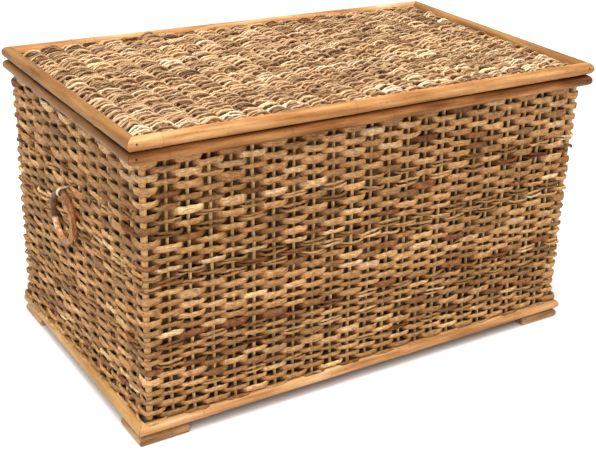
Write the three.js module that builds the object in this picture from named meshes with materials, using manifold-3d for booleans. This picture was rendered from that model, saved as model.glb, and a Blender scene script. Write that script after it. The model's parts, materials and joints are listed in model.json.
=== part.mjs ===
// Rattan storage trunk with a hinged lid and a ring handle on each short side.
// Millimetres, +Z up. The origin is on the floor under the middle, and the front faces -Y.

import * as THREE from 'three';
import { mergeVertices } from 'three/addons/utils/BufferGeometryUtils.js';
import Module from 'manifold-3d';

// Outline over the rim poles, and the height of the closed trunk.
const LENGTH = 880;
const WIDTH = 520;
const HEIGHT = 504;
const GAP = 0.3; // left between pieces that touch

// Round poles: the lid's edge, the body's rim and the base.
const LID_POLE_R = 10.5;
const RIM_POLE_R = 9.5;
const BASE_POLE_R = 9.5;
const BASE_INSET = 3;
const LID_SEAM = 1.2; // between the lid's poles and the rim's poles
const SEAM_Z = HEIGHT - 2 * LID_POLE_R - LID_SEAM / 2;
const RIM_TOP = SEAM_Z - LID_SEAM / 2;
const RIM_BOTTOM = RIM_TOP - 2 * RIM_POLE_R;

// Feet: short lengths of pole, flattened underneath, mitred in pairs under each corner.
const FOOT_HEIGHT = 16;
const FOOT_R = 9.5;
const FOOT_INSET = 5;
const LONG_FOOT = 85;
const SHORT_FOOT = 75;
const BASE_TOP = FOOT_HEIGHT + 2 * BASE_POLE_R;

// Woven walls. Their thin margins are nailed between the outer poles and the inner rails.
const WALL_INSET = 18;
const WALL_THICKNESS = 12;
const MARGIN = 3;
const POST_R = 6;
const POST_INSET = WALL_INSET + POST_R;
const WALL_BACK = WALL_INSET + WALL_THICKNESS;

// Inner rails of the body, and the woven floor with its bearers.
const TOP_RAIL_WIDTH = 9;
const BOTTOM_RAIL_WIDTH = 14;
const RAIL_TOP = RIM_TOP - LID_SEAM;
const FLOOR_THICKNESS = 10;
const BEARER_R = 8;
const BEARER_PITCH = 220;

// Lid: a woven panel between the poles, on an inner frame that drops inside the rim.
const LID_WEAVE_BOTTOM = 486.2;
const LID_WEAVE_TOP = 497.8;
const LID_RAIL_INSET = 33.5;
const LID_RAIL_WIDTH = 14.5;
const LID_RAIL_BOTTOM = 470;
const BATTEN_R = 7.5;

// Ring handle: one rod bent round to a closed ring, hung a little behind the middle of the side.
const RING_ROD_R = 5.1;
const RING_R = 42;
const RING_STAND_OFF = 12; // from the wall's face to the middle of the rod
const RING_PIVOT_Z = 322;
const RING_BACK_SHIFT = 25;

// The peel loop that holds the ring to the wall.
const PEEL_THICKNESS = 2.4;
const PEEL_WIDTH = 6;
const PEEL_INNER_R = 6.4;

// Butt hinges, let into the two back poles.
const HINGE_X = 250;
const HINGE_INSET = 5; // from the back of the poles to the pin
const LEAF_LENGTH = 40;
const LEAF_THICKNESS = 1.2;
const LEAF_END = 18.5; // inset of the leaf's inner edge
const KNUCKLE_R = 2.5;
const KNUCKLE_BORE_R = 1.3;
const PIN_R = 1.2;
const PIN_HEAD_R = 2.2;
const PIN_HEAD = 1;
const HINGE_CLEARANCE = 0.4;

const POLE_SEGMENTS = 10; // half the sides of a round pole

const MATERIALS = {
  pole: new THREE.MeshStandardMaterial({ color: 0xb87b3c, roughness: 0.4, metalness: 0 }),
  weave: new THREE.MeshStandardMaterial({ color: 0xa98556, roughness: 0.7, metalness: 0 }),
  post: new THREE.MeshStandardMaterial({ color: 0xb8945f, roughness: 0.6, metalness: 0 }),
  rail: new THREE.MeshStandardMaterial({ color: 0x9c7a4a, roughness: 0.7, metalness: 0 }),
  foot: new THREE.MeshStandardMaterial({ color: 0x96805c, roughness: 0.7, metalness: 0 }),
  ring: new THREE.MeshStandardMaterial({ color: 0x74401f, roughness: 0.4, metalness: 0 }),
  peel: new THREE.MeshStandardMaterial({ color: 0xd8c08c, roughness: 0.5, metalness: 0 }),
  steel: new THREE.MeshStandardMaterial({ color: 0x8a857c, roughness: 0.4, metalness: 1 }),
};

// Each side is drawn in its own frame: x along the side to the right, y inwards from the outline.
const SIDES = {
  front: { turn: 0, half: LENGTH / 2, reach: WIDTH / 2, corners: ['front_left', 'front_right'] },
  right: { turn: 1, half: WIDTH / 2, reach: LENGTH / 2, corners: ['front_right', 'back_right'] },
  back: { turn: 2, half: LENGTH / 2, reach: WIDTH / 2, corners: ['back_right', 'back_left'] },
  left: { turn: 3, half: WIDTH / 2, reach: LENGTH / 2, corners: ['back_left', 'front_left'] },
};

const wasm = await Module();
wasm.setup();

function part(name, geometry, material) {
  const mesh = new THREE.Mesh(geometry, MATERIALS[material].clone());
  mesh.name = name;
  return mesh;
}

function sideGroup(side) {
  const turned = new THREE.Group();
  const outline = new THREE.Group();
  turned.rotation.z = (side.turn * Math.PI) / 2;
  outline.position.y = -side.reach;
  turned.add(outline);
  return { turned, outline };
}

// Sections are drawn as (inset from the outline, height).

function round(inset, z, radius) {
  const shape = new THREE.Shape();
  shape.absarc(inset, z, radius, 0, 2 * Math.PI);
  return shape;
}

function block(inset, insetEnd, bottom, top) {
  const shape = new THREE.Shape();
  shape.moveTo(inset, bottom);
  shape.lineTo(insetEnd, bottom);
  shape.lineTo(insetEnd, top);
  shape.lineTo(inset, top);
  shape.closePath();
  return shape;
}

function flattenedRound(inset, z, radius) {
  const flat = Math.asin(z / radius);
  const shape = new THREE.Shape();
  shape.absarc(inset, z, radius, -flat, Math.PI + flat);
  shape.closePath();
  return shape;
}

function wallSection() {
  const topMargin = 2 * RIM_POLE_R + GAP;
  const baseMargin = BASE_INSET + 2 * BASE_POLE_R + GAP;
  const shape = new THREE.Shape();
  shape.moveTo(baseMargin, FOOT_HEIGHT + GAP);
  shape.lineTo(baseMargin + MARGIN, FOOT_HEIGHT + GAP);
  shape.lineTo(baseMargin + MARGIN, BASE_TOP + GAP);
  shape.lineTo(WALL_BACK, BASE_TOP + GAP);
  shape.lineTo(WALL_BACK, RIM_BOTTOM - GAP);
  shape.lineTo(topMargin + MARGIN, RIM_BOTTOM - GAP);
  shape.lineTo(topMargin + MARGIN, RAIL_TOP);
  shape.lineTo(topMargin, RAIL_TOP);
  shape.lineTo(topMargin, RIM_BOTTOM - GAP);
  shape.lineTo(WALL_INSET, RIM_BOTTOM - GAP);
  shape.lineTo(WALL_INSET, BASE_TOP + GAP);
  shape.lineTo(baseMargin, BASE_TOP + GAP);
  shape.closePath();
  return shape;
}

// A bar along a side. Its two ends are functions of the inset, so an end is square or mitred.
function bar(section, startAt, endAt) {
  const options = { depth: 1, bevelEnabled: false, curveSegments: POLE_SEGMENTS };
  const geometry = new THREE.ExtrudeGeometry(section, options);
  const position = geometry.getAttribute('position');
  for (let i = 0; i < position.count; i += 1) {
    const inset = position.getX(i);
    const x = position.getZ(i) < 0.5 ? startAt(inset) : endAt(inset);
    position.setXYZ(i, x, inset, position.getY(i));
  }
  geometry.computeVertexNormals();
  return geometry;
}

function mitredBar(side, section) {
  const end = (inset) => side.half - inset - GAP;
  return bar(section, (inset) => -end(inset), end);
}

function squareBar(half, section) {
  return bar(section, () => -half, () => half);
}

function rodAlongY(radius, length) {
  return new THREE.CylinderGeometry(radius, radius, length, 2 * POLE_SEGMENTS);
}

// Joining and cutting.

function solid(geometry) {
  const bare = new THREE.BufferGeometry();
  bare.setAttribute('position', geometry.getAttribute('position').clone());
  if (geometry.index) bare.setIndex(geometry.index.clone());
  const merged = mergeVertices(bare);
  return new wasm.Manifold(
    new wasm.Mesh({
      numProp: 3,
      vertProperties: new Float32Array(merged.getAttribute('position').array),
      triVerts: new Uint32Array(merged.index.array),
    }),
  );
}

function geometryOf(manifold) {
  const mesh = manifold.getMesh();
  const geometry = new THREE.BufferGeometry();
  geometry.setAttribute('position', new THREE.BufferAttribute(mesh.vertProperties, 3));
  geometry.setIndex(new THREE.BufferAttribute(mesh.triVerts, 1));
  geometry.computeVertexNormals();
  return geometry;
}

function boxSolid(xs, ys, zs) {
  const box = new THREE.BoxGeometry(xs[1] - xs[0], ys[1] - ys[0], zs[1] - zs[0]);
  box.translate((xs[0] + xs[1]) / 2, (ys[0] + ys[1]) / 2, (zs[0] + zs[1]) / 2);
  return solid(box);
}

function hingeCylinder(radius, xs) {
  const cylinder = new THREE.CylinderGeometry(radius, radius, xs[1] - xs[0], 24);
  cylinder.rotateZ(Math.PI / 2);
  cylinder.translate((xs[0] + xs[1]) / 2, HINGE_INSET, SEAM_Z);
  return solid(cylinder);
}

// Hinges, in the back side's frame. A leaf lies on its own side of the seam.

function leaf(side, knuckles) {
  const near = side * GAP;
  const far = side * (GAP + LEAF_THICKNESS);
  const zs = [SEAM_Z + Math.min(near, far), SEAM_Z + Math.max(near, far)];
  const clear = HINGE_INSET + KNUCKLE_R + HINGE_CLEARANCE;
  const ends = [-LEAF_LENGTH / 2, LEAF_LENGTH / 2];
  let joined = boxSolid(ends, [clear, LEAF_END], zs);
  for (const xs of knuckles) {
    joined = joined.add(boxSolid(xs, [HINGE_INSET, clear + 1], zs));
    joined = joined.add(hingeCylinder(KNUCKLE_R, xs));
  }
  const bore = hingeCylinder(KNUCKLE_BORE_R, [-LEAF_LENGTH, LEAF_LENGTH]);
  return geometryOf(joined.subtract(bore));
}

function hingePin() {
  const half = LEAF_LENGTH / 2 + GAP;
  const profile = [
    new THREE.Vector2(0, -half - PIN_HEAD),
    new THREE.Vector2(PIN_HEAD_R, -half - PIN_HEAD),
    new THREE.Vector2(PIN_HEAD_R, -half),
    new THREE.Vector2(PIN_R, -half),
    new THREE.Vector2(PIN_R, half),
    new THREE.Vector2(PIN_HEAD_R, half),
    new THREE.Vector2(PIN_HEAD_R, half + PIN_HEAD),
    new THREE.Vector2(0, half + PIN_HEAD),
  ];
  return new THREE.LatheGeometry(profile, 24);
}

// Cuts a back pole to take both hinges: room for the knuckles, and a bed for the leaf.
function notched(poleGeometry, side) {
  let pole = solid(poleGeometry);
  const depth = GAP + LEAF_THICKNESS + GAP;
  for (const x of [-HINGE_X, HINGE_X]) {
    const half = LEAF_LENGTH / 2 + PIN_HEAD + 2 * GAP;
    const xs = [x - half, x + half];
    const zs = side > 0 ? [SEAM_Z - 1, SEAM_Z + depth] : [SEAM_Z - depth, SEAM_Z + 1];
    pole = pole.subtract(hingeCylinder(KNUCKLE_R + HINGE_CLEARANCE, xs));
    pole = pole.subtract(boxSolid(xs, [HINGE_INSET, LEAF_END + GAP], zs));
  }
  return geometryOf(pole);
}

function addHinges(bodySide, lidSide) {
  const third = LEAF_LENGTH / 6;
  const outer = [
    [-LEAF_LENGTH / 2, -third - GAP],
    [third + GAP, LEAF_LENGTH / 2],
  ];
  const places = { left: HINGE_X, right: -HINGE_X }; // the back side's x runs to the left
  for (const [name, x] of Object.entries(places)) {
    const bodyLeaf = part(`hinge_body_leaf_${name}`, leaf(-1, outer), 'steel');
    const lidLeaf = part(`hinge_lid_leaf_${name}`, leaf(1, [[-third, third]]), 'steel');
    const pin = part(`hinge_pin_${name}`, hingePin(), 'steel');
    bodyLeaf.position.x = x;
    lidLeaf.position.x = x;
    pin.position.set(x, HINGE_INSET, SEAM_Z);
    pin.rotation.z = Math.PI / 2;
    bodySide.add(bodyLeaf, pin);
    lidSide.add(lidLeaf);
  }
}

// Feet stand under the base poles, two to a corner.
function addFeet(sideName, side, outline) {
  const centre = FOOT_HEIGHT - GAP - FOOT_R;
  const section = flattenedRound(FOOT_INSET + FOOT_R, centre, FOOT_R);
  const long = sideName === 'front' || sideName === 'back';
  const length = FOOT_INSET + (long ? LONG_FOOT : SHORT_FOOT);
  const mitre = (inset) => side.half - inset - GAP;
  const inner = () => side.half - length;
  const word = long ? 'long' : 'short';
  const start = bar(section, (inset) => -mitre(inset), () => -inner());
  const end = bar(section, inner, mitre);
  outline.add(part(`foot_${side.corners[0]}_${word}`, start, 'foot'));
  outline.add(part(`foot_${side.corners[1]}_${word}`, end, 'foot'));
}

function addBodySide(name, side, outline) {
  const rim = round(RIM_POLE_R, RIM_BOTTOM + RIM_POLE_R, RIM_POLE_R);
  const base = round(BASE_INSET + BASE_POLE_R, FOOT_HEIGHT + BASE_POLE_R, BASE_POLE_R);
  const topRailInset = 2 * RIM_POLE_R + MARGIN + 2 * GAP;
  const topRail = block(topRailInset, topRailInset + TOP_RAIL_WIDTH, RIM_BOTTOM, RAIL_TOP);
  const lowInset = BASE_INSET + 2 * BASE_POLE_R + MARGIN + 2 * GAP;
  const lowRail = block(lowInset, lowInset + BOTTOM_RAIL_WIDTH, FOOT_HEIGHT + GAP, BASE_TOP);
  const wallHalf = side.half - WALL_BACK - GAP;
  const rimPole = mitredBar(side, rim);
  outline.add(part(`rim_pole_${name}`, name === 'back' ? notched(rimPole, -1) : rimPole, 'pole'));
  outline.add(part(`base_pole_${name}`, mitredBar(side, base), 'pole'));
  outline.add(part(`top_rail_${name}`, mitredBar(side, topRail), 'rail'));
  outline.add(part(`bottom_rail_${name}`, mitredBar(side, lowRail), 'rail'));
  outline.add(part(`wall_${name}`, squareBar(wallHalf, wallSection()), 'weave'));
  addFeet(name, side, outline);
}

function addLidSide(name, side, outline) {
  const section = round(LID_POLE_R, HEIGHT - LID_POLE_R, LID_POLE_R);
  const rail = block(
    LID_RAIL_INSET,
    LID_RAIL_INSET + LID_RAIL_WIDTH,
    LID_RAIL_BOTTOM,
    LID_WEAVE_BOTTOM - GAP,
  );
  const pole = mitredBar(side, section);
  outline.add(part(`lid_pole_${name}`, name === 'back' ? notched(pole, 1) : pole, 'pole'));
  outline.add(part(`lid_rail_${name}`, mitredBar(side, rail), 'rail'));
}

// The corner posts run from the base poles to the rim, in the corners of the weave.
function addCornerPosts(group) {
  const bottom = BASE_TOP + GAP;
  const top = RIM_BOTTOM - GAP;
  for (const [xName, xSign] of [['left', -1], ['right', 1]]) {
    for (const [yName, ySign] of [['front', -1], ['back', 1]]) {
      const post = part(`corner_post_${yName}_${xName}`, rodAlongY(POST_R, top - bottom), 'post');
      post.rotation.x = Math.PI / 2;
      post.position.set(
        xSign * (LENGTH / 2 - POST_INSET),
        ySign * (WIDTH / 2 - POST_INSET),
        (top + bottom) / 2,
      );
      group.add(post);
    }
  }
}

// A flat woven panel, its edges at one inset from the outline all round.
function panel(name, inset, bottom, top) {
  const size = [LENGTH - 2 * inset, WIDTH - 2 * inset, top - bottom];
  const mesh = part(name, new THREE.BoxGeometry(...size), 'weave');
  mesh.position.z = (bottom + top) / 2;
  return mesh;
}

// Three cross pieces that carry a panel from below, at an even pitch.
function addCrossPieces(group, stem, radius, halfLength, z) {
  for (const [name, step] of [['left', -1], ['middle', 0], ['right', 1]]) {
    const rod = part(`${stem}_${name}`, rodAlongY(radius, 2 * halfLength), 'rail');
    rod.position.set(step * BEARER_PITCH, 0, z);
    group.add(rod);
  }
}

// The ring hangs from its own top, where the pivot is.
function ringGeometry() {
  const geometry = new THREE.TorusGeometry(RING_R, RING_ROD_R, 16, 56);
  geometry.rotateX(Math.PI / 2);
  geometry.translate(0, 0, -RING_R);
  return geometry;
}

// The peel leaves the wall above the ring's rod, goes round it and back into the wall.
function peelGeometry() {
  const radius = PEEL_INNER_R + PEEL_THICKNESS / 2;
  const leg = RING_STAND_OFF - GAP;
  const path = new THREE.CurvePath();
  const turn = new THREE.CatmullRomCurve3(
    Array.from({ length: 13 }, (_, i) => {
      const angle = Math.PI / 2 - (i * Math.PI) / 12;
      return new THREE.Vector3(0, -radius * Math.cos(angle), radius * Math.sin(angle));
    }),
  );
  path.add(new THREE.LineCurve3(new THREE.Vector3(0, leg, radius), new THREE.Vector3(0, 0, radius)));
  path.add(turn);
  path.add(new THREE.LineCurve3(new THREE.Vector3(0, 0, -radius), new THREE.Vector3(0, leg, -radius)));
  const shape = new THREE.Shape();
  shape.absellipse(0, 0, PEEL_THICKNESS / 2, PEEL_WIDTH / 2, 0, 2 * Math.PI);
  return new THREE.ExtrudeGeometry(shape, { steps: 24, curveSegments: 6, extrudePath: path });
}

function addHandle(name, outline, shift) {
  const pivotInset = WALL_INSET - RING_STAND_OFF;
  const ring = part(`ring_handle_${name}`, ringGeometry(), 'ring');
  const peel = part(`handle_loop_${name}`, peelGeometry(), 'peel');
  ring.position.set(shift, pivotInset, RING_PIVOT_Z);
  peel.position.set(shift, pivotInset, RING_PIVOT_Z);
  outline.add(ring, peel);
}

function makeTrunk() {
  const trunk = new THREE.Group();
  const body = new THREE.Group();
  const lid = new THREE.Group();
  const outlines = {};
  for (const [name, side] of Object.entries(SIDES)) {
    const bodySide = sideGroup(side);
    const lidSide = sideGroup(side);
    addBodySide(name, side, bodySide.outline);
    addLidSide(name, side, lidSide.outline);
    body.add(bodySide.turned);
    lid.add(lidSide.turned);
    outlines[name] = { body: bodySide.outline, lid: lidSide.outline };
  }
  addHinges(outlines.back.body, outlines.back.lid);
  addHandle('left', outlines.left.body, -RING_BACK_SHIFT);
  addHandle('right', outlines.right.body, RING_BACK_SHIFT);
  addCornerPosts(body);

  const floorBottom = BASE_TOP + GAP;
  const lowRailBack = BASE_INSET + 2 * BASE_POLE_R + MARGIN + 2 * GAP + BOTTOM_RAIL_WIDTH;
  const bearerHalf = WIDTH / 2 - lowRailBack - GAP;
  body.add(panel('floor_weave', WALL_BACK + GAP, floorBottom, floorBottom + FLOOR_THICKNESS));
  addCrossPieces(body, 'floor_bearer', BEARER_R, bearerHalf, BASE_TOP - BEARER_R);

  const battenHalf = WIDTH / 2 - LID_RAIL_INSET - LID_RAIL_WIDTH - GAP;
  const battenZ = LID_WEAVE_BOTTOM - GAP - BATTEN_R;
  lid.add(panel('lid_weave', 2 * LID_POLE_R + GAP, LID_WEAVE_BOTTOM, LID_WEAVE_TOP));
  addCrossPieces(lid, 'lid_batten', BATTEN_R, battenHalf, battenZ);
  trunk.add(body, lid);
  return trunk;
}

export default makeTrunk();
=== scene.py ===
"""The looks of a woven rattan trunk: its strands, poles, rings, fittings, light and camera."""
import json
import math

import bmesh
import bpy
import numpy as np
from mathutils import Matrix, Vector


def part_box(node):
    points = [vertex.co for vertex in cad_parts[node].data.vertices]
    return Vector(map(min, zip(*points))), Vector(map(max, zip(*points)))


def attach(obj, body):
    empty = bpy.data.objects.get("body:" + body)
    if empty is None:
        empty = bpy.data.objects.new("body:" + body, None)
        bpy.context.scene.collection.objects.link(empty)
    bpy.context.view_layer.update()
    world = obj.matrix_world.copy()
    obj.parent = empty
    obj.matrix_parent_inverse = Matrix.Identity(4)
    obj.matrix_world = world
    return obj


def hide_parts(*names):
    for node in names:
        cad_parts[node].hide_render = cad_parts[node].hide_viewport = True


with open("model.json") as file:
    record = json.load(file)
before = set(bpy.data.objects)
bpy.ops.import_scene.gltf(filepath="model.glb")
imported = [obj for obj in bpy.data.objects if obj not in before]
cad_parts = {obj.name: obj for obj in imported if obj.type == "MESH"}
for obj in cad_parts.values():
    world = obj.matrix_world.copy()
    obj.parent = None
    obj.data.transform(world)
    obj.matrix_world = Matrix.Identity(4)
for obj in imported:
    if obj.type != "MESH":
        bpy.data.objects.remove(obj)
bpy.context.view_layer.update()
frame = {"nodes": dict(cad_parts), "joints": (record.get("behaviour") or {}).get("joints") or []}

MM = 0.001
rng = np.random.default_rng(20)


# -------- sizes, from the frame

def middle(node):
    low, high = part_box(node)
    return (low + high) / 2


def size(node):
    low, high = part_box(node)
    return high - low


POST_X = middle("corner_post_front_right").x
POST_Y = middle("corner_post_back_right").y
POST_RADIUS = size("corner_post_front_left").x / 2
WALL_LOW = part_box("corner_post_front_left")[0].z
WALL_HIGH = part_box("corner_post_front_left")[1].z
OUTLINE_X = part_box("lid_pole_right")[1].x
OUTLINE_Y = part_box("lid_pole_back")[1].y
LID_HINGE = next(joint for joint in frame["joints"] if joint["name"] == "lid_hinge")

# Weave
STAKE_RADIUS = 2.9 * MM
STAKE_TINTS = (0.45, 0.95)
STAKE_LIGHTS = (0.9, 1.08)
WEAVER_HALF_DEPTH = 2.5 * MM
LID_STRAND_HALF_DEPTH = 1.8 * MM
WEAVER_PITCH = 9.3 * MM  # between the rows of a wall
FRONT_STAKES = 22  # between the corner posts, and on the back
SIDE_STAKES = 12
STAKE_LEAN = 4.5 * MM  # how far the stakes have slipped sideways between the rim and the base
WALL_BULGE = 3 * MM
LONG_WAVE, SHORT_WAVE = 1.3 * MM, 0.8 * MM  # how far a row wanders up and down
ROW_WIDENING = 0.09  # the rows are this share narrower at the base, and wider at the rim
FOOT_SPREAD = 9 * MM  # how far the lowest rows stand out over the base poles
FOOT_SPREAD_HEIGHT = 30 * MM
BOTTOM_DROP = 6 * MM
# How far each corner of the woven body stands from its place along the trunk, as it was made by hand.
CORNER_DRIFT = {"front_left": 6.5 * MM, "front_right": 3 * MM, "back_left": -8 * MM, "back_right": 0.0}
BEND_OUT = 0.49  # of the way from the stake that a weaver covers, it still lies on the outside
BEND_IN = 0.74  # and here it is behind the next stake's outside
LID_BEND_OUT, LID_BEND_IN = 0.36, 0.69  # the lid's weavers rise and dive more gently
PRESSED = 0.6 * MM  # how much lower a weaver lies over a stake than behind one
SLACK = 0.4 * MM  # how much further out a weaver lies over a stake, and nearer at a bend
HIDDEN_FILL = 1.25  # a strand packs the weave behind the stakes
INSIDE_LIGHT = 0.42  # the hidden stretches are darker: painted shade deep in the weave, with some dust
LIT = 0.9  # a stretch of weaver with more light than this shows
MIDDLE_TINT = 0.62
CORNER_POST_RADIUS = 5.2 * MM
CORNER_HUG = 1.3 * MM  # how tightly a weaver is pulled in round a corner post
LID_STAKES = 23
LID_STAKE_STRAY = 2.5 * MM
LID_PITCH = 9.5 * MM
LID_RISE = 2.4 * MM  # how far a lid's weaver stands off a stake that it passes over
FIRST_LID_STAKE = 39 * MM  # from the outline
STRAND_STEPS = 3  # rings of points from each control of a strand to the next
SLIM = (0.54, 0.78)  # the share of its place that a strand of a bundle fills
BUNDLE_WAVE, BUNDLE_LIFT = 0.2, 0.42  # how far the strands of a bundle part, in half widths of it
PAIRED_ROWS = 0.2  # the share of a wall's rows that are woven with two thin strands
LID_SINGLES, LID_PAIRS = 0.04, 0.26  # the shares of the lid's rows with one and with two

# Poles
POLE_SIDES = 22
POLE_RING = 11 * MM
KNOT_HALF = 1.6 * MM
KNOT_SWELL = 1.045
SWAY_GRAIN, SKIN_GRAIN = 0.22, 0.016  # the length of a pole's bends, and of its surface's dents
SKIN_RELIEF = 0.5 * MM
HINGE_ROOM = 0.35 * MM  # round the knuckles of a hinge
HINGE_BED = 1.85 * MM  # how deep the room for a leaf is
NAIL_RADIUS = 1.9 * MM
FOOT_END_ROUND = 2.2 * MM
MITRE_GAP = 0.25 * MM
SEAM_DIRT_AND_SHADE = 9 * MM  # how far the darkening spreads from the seam between the lid and the rim: dirt and painted shade
NO_SEAM = -1.0  # a height that is nowhere near a pole


# -------- shader building

class Value:
    """A shader output, so that shader maths reads as arithmetic."""

    def __init__(self, finish, socket):
        self.finish = finish
        self.socket = socket

    def math(self, operation, *values):
        return self.finish.node("ShaderNodeMath", {"operation": operation}, dict(enumerate(values)))

    def __add__(self, other):
        return self.math("ADD", self, other)

    def __radd__(self, other):
        return self.math("ADD", other, self)

    def __sub__(self, other):
        return self.math("SUBTRACT", self, other)

    def __rsub__(self, other):
        return self.math("SUBTRACT", other, self)

    def __mul__(self, other):
        return self.math("MULTIPLY", self, other)

    def __rmul__(self, other):
        return self.math("MULTIPLY", other, self)

    def clamp_to(self, least, most):
        return self.math("MINIMUM", self.math("MAXIMUM", self, least), most)

    def clamp(self):
        return self.clamp_to(0.0, 1.0)

    def above(self, edge, softness):
        """0 below the edge, 1 above it, and a ramp as wide as softness between."""
        return ((self - edge) * (1 / softness) + 0.5).clamp()


GREEN_LOSS, BLUE_LOSS = 0.28, 0.5  # how much faster green and blue fade than red in painted shade


class Finish:
    """A material. Its nodes are made from their type, their settings and their inputs."""

    def __init__(self, name, **constants):
        self.material = bpy.data.materials.new(name)
        self.material.use_nodes = True
        self.tree = self.material.node_tree
        self.shader = self.tree.nodes["Principled BSDF"]
        for socket, value in constants.items():
            self.shader.inputs[socket.replace("_", " ")].default_value = value

    def node(self, kind, settings=None, inputs=None, output=0):
        made = self.tree.nodes.new(kind)
        for key, value in (settings or {}).items():
            if key == "stops":
                self.set_stops(made.color_ramp, value)
            else:
                setattr(made, key, value)
        for key, value in (inputs or {}).items():
            self.feed(made.inputs[key], value)
        return Value(self, made.outputs[output])

    def feed(self, socket, value):
        if isinstance(value, Value):
            self.tree.links.new(value.socket, socket)
        else:
            socket.default_value = value

    def set_stops(self, ramp, stops):
        while len(ramp.elements) < len(stops):
            ramp.elements.new(1.0)
        for element, (place, colour) in zip(ramp.elements, stops):
            element.position = place
            element.color = (*colour, 1.0)

    def attribute(self, name):
        return self.node("ShaderNodeAttribute", {"attribute_name": name}, output=2)

    def vector(self, x, y, z):
        return self.node("ShaderNodeCombineXYZ", None, {0: x, 1: y, 2: z})

    def place(self, scale):
        """The point on the object, stretched by a scale on each axis."""
        point = self.node("ShaderNodeTexCoord", None, None, output=3)
        return self.node("ShaderNodeMapping", None, {"Vector": point, "Scale": scale})

    def noise(self, vector, scale, detail=2.0):
        return self.node("ShaderNodeTexNoise", None, {"Vector": vector, "Scale": scale, "Detail": detail})

    def ramp(self, value, stops):
        return self.node("ShaderNodeValToRGB", {"stops": stops}, {"Fac": value})

    def mix(self, share, first, second, blend="MIX"):
        settings = {"data_type": "RGBA", "blend_type": blend}
        return self.node("ShaderNodeMix", settings, {0: share, 6: first, 7: second}, output=2)

    def shade(self, colour, light):
        """A colour made lighter or darker by a number."""
        settings = {"operation": "SCALE"}
        return self.node("ShaderNodeVectorMath", settings, {"Vector": colour, "Scale": light})

    def shade_and_redden(self, colour, light):
        """A colour made lighter or darker, and the redder the darker it is: painted shade, reddened as
        light bounced round a hollow reddens it.
        """
        green = light * (light * GREEN_LOSS + (1 - GREEN_LOSS))
        blue = light * (light * BLUE_LOSS + (1 - BLUE_LOSS))
        share = self.vector(light, green, blue)
        return self.node("ShaderNodeVectorMath", {"operation": "MULTIPLY"}, {0: colour, 1: share})

    def done(self, colour, roughness, height=None, relief=0.0005):
        self.feed(self.shader.inputs["Base Color"], colour)
        self.feed(self.shader.inputs["Roughness"], roughness)
        if height is not None:
            inputs = {"Height": height, "Distance": relief, "Strength": 1.0}
            self.feed(self.shader.inputs["Normal"], self.node("ShaderNodeBump", None, inputs))
        return self.material


# -------- finishes

def weaver_finish(name, stops, roughness, gloss, coat):
    """Split rattan: each strand has its tint, with fibres along it and darker flecks, a painted highlight
    along one edge and painted shade along the other.
    """
    finish = Finish(name, Specular_IOR_Level=gloss, Coat_Weight=coat, Coat_Roughness=0.25)
    along = finish.attribute("along")
    around = finish.attribute("around")
    own = finish.attribute("tint")
    fibres = finish.noise(finish.vector(along * 48, around * 5, own * 40), 2.2, 3.0)
    blotches = finish.noise(finish.vector(along * 80, around * 1.4, own * 17), 1.6, 3.0)
    tint = (own + (blotches - 0.5) * 0.75).clamp()
    # Brighter along one edge of a strand, the top one on the walls, and darker along the other: painted
    # highlight and painted shade, as light from above falls.
    edge = 0.64 + around * 0.68
    light = finish.attribute("light") * edge * (fibres * 2.0).clamp_to(0.45, 1.5)
    flecks = finish.noise(finish.vector(along * 150, around * 3, 0.0), 3.0).above(0.66, 0.08)
    colour = finish.shade_and_redden(finish.ramp(tint, stops), light * (1 - flecks * 0.4))
    return finish.done(colour, roughness + (fibres - 0.5) * 0.3, fibres, 0.0014)


def pole_finish(name, axis, stops, roughness, contrast=1.2):
    """Varnished rattan pole: streaks along its axis, a tone for each length, dark rings at the knots, and
    darker near a seam with dirt and painted shade.
    """
    finish = Finish(name, Specular_IOR_Level=0.16)
    stretch = [26.0, 26.0, 26.0]
    stretch[axis] = 2.0
    streaks = finish.noise(finish.place(stretch), 4.0, 4.0)
    stretch[axis] = 9.0
    clouds = finish.noise(finish.place(stretch), 1.1, 2.0)
    scuffs = finish.noise(finish.place((90, 90, 90)), 2.0, 3.0).above(0.66, 0.08)
    # Darker near the seam between lid and rim: dirt and painted shade under the lid's pole.
    dirt = finish.attribute("dirt") * (0.7 + clouds * 0.6)
    patches = (streaks - 0.5) * contrast + (clouds - 0.5) * 0.4 * contrast
    tone = finish.attribute("tone") + patches - dirt * 0.2
    knot = finish.attribute("knot")
    light = (1 - knot * 0.22) * (1 - scuffs * 0.2)
    colour = finish.shade(finish.ramp(tone.clamp(), stops), light)
    return finish.done(colour, roughness + streaks * 0.2, streaks - knot * 0.8, 0.0004)


def wood_finish(name, axis, dark, light):
    """Plain unfinished wood or peeled core for the inner frame."""
    finish = Finish(name)
    stretch = [60.0, 60.0, 60.0]
    stretch[axis] = 4.0
    grain = finish.noise(finish.place(stretch), 3.0, 4.0)
    stain = finish.noise(finish.place((7, 7, 7)), 1.5)
    tone = (grain * 0.7 + stain * 0.5 - 0.1).clamp()
    return finish.done(finish.mix(tone, (*dark, 1), (*light, 1)), 0.55 + grain * 0.3, grain, 0.0005)


def steel_finish(name, clean, tarnished):
    """Dull metal with brushing and a little tarnish."""
    finish = Finish(name, Metallic=0.9)
    brushed = finish.noise(finish.place((40, 900, 900)), 3.0, 3.0)
    tarnish = finish.noise(finish.place((260, 260, 260)), 2.0, 3.0).above(0.58, 0.2)
    colour = finish.mix(tarnish, (*clean, 1), (*tarnished, 1))
    return finish.done(colour, 0.3 + brushed * 0.25 + tarnish * 0.2, brushed, 0.0001)


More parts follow.
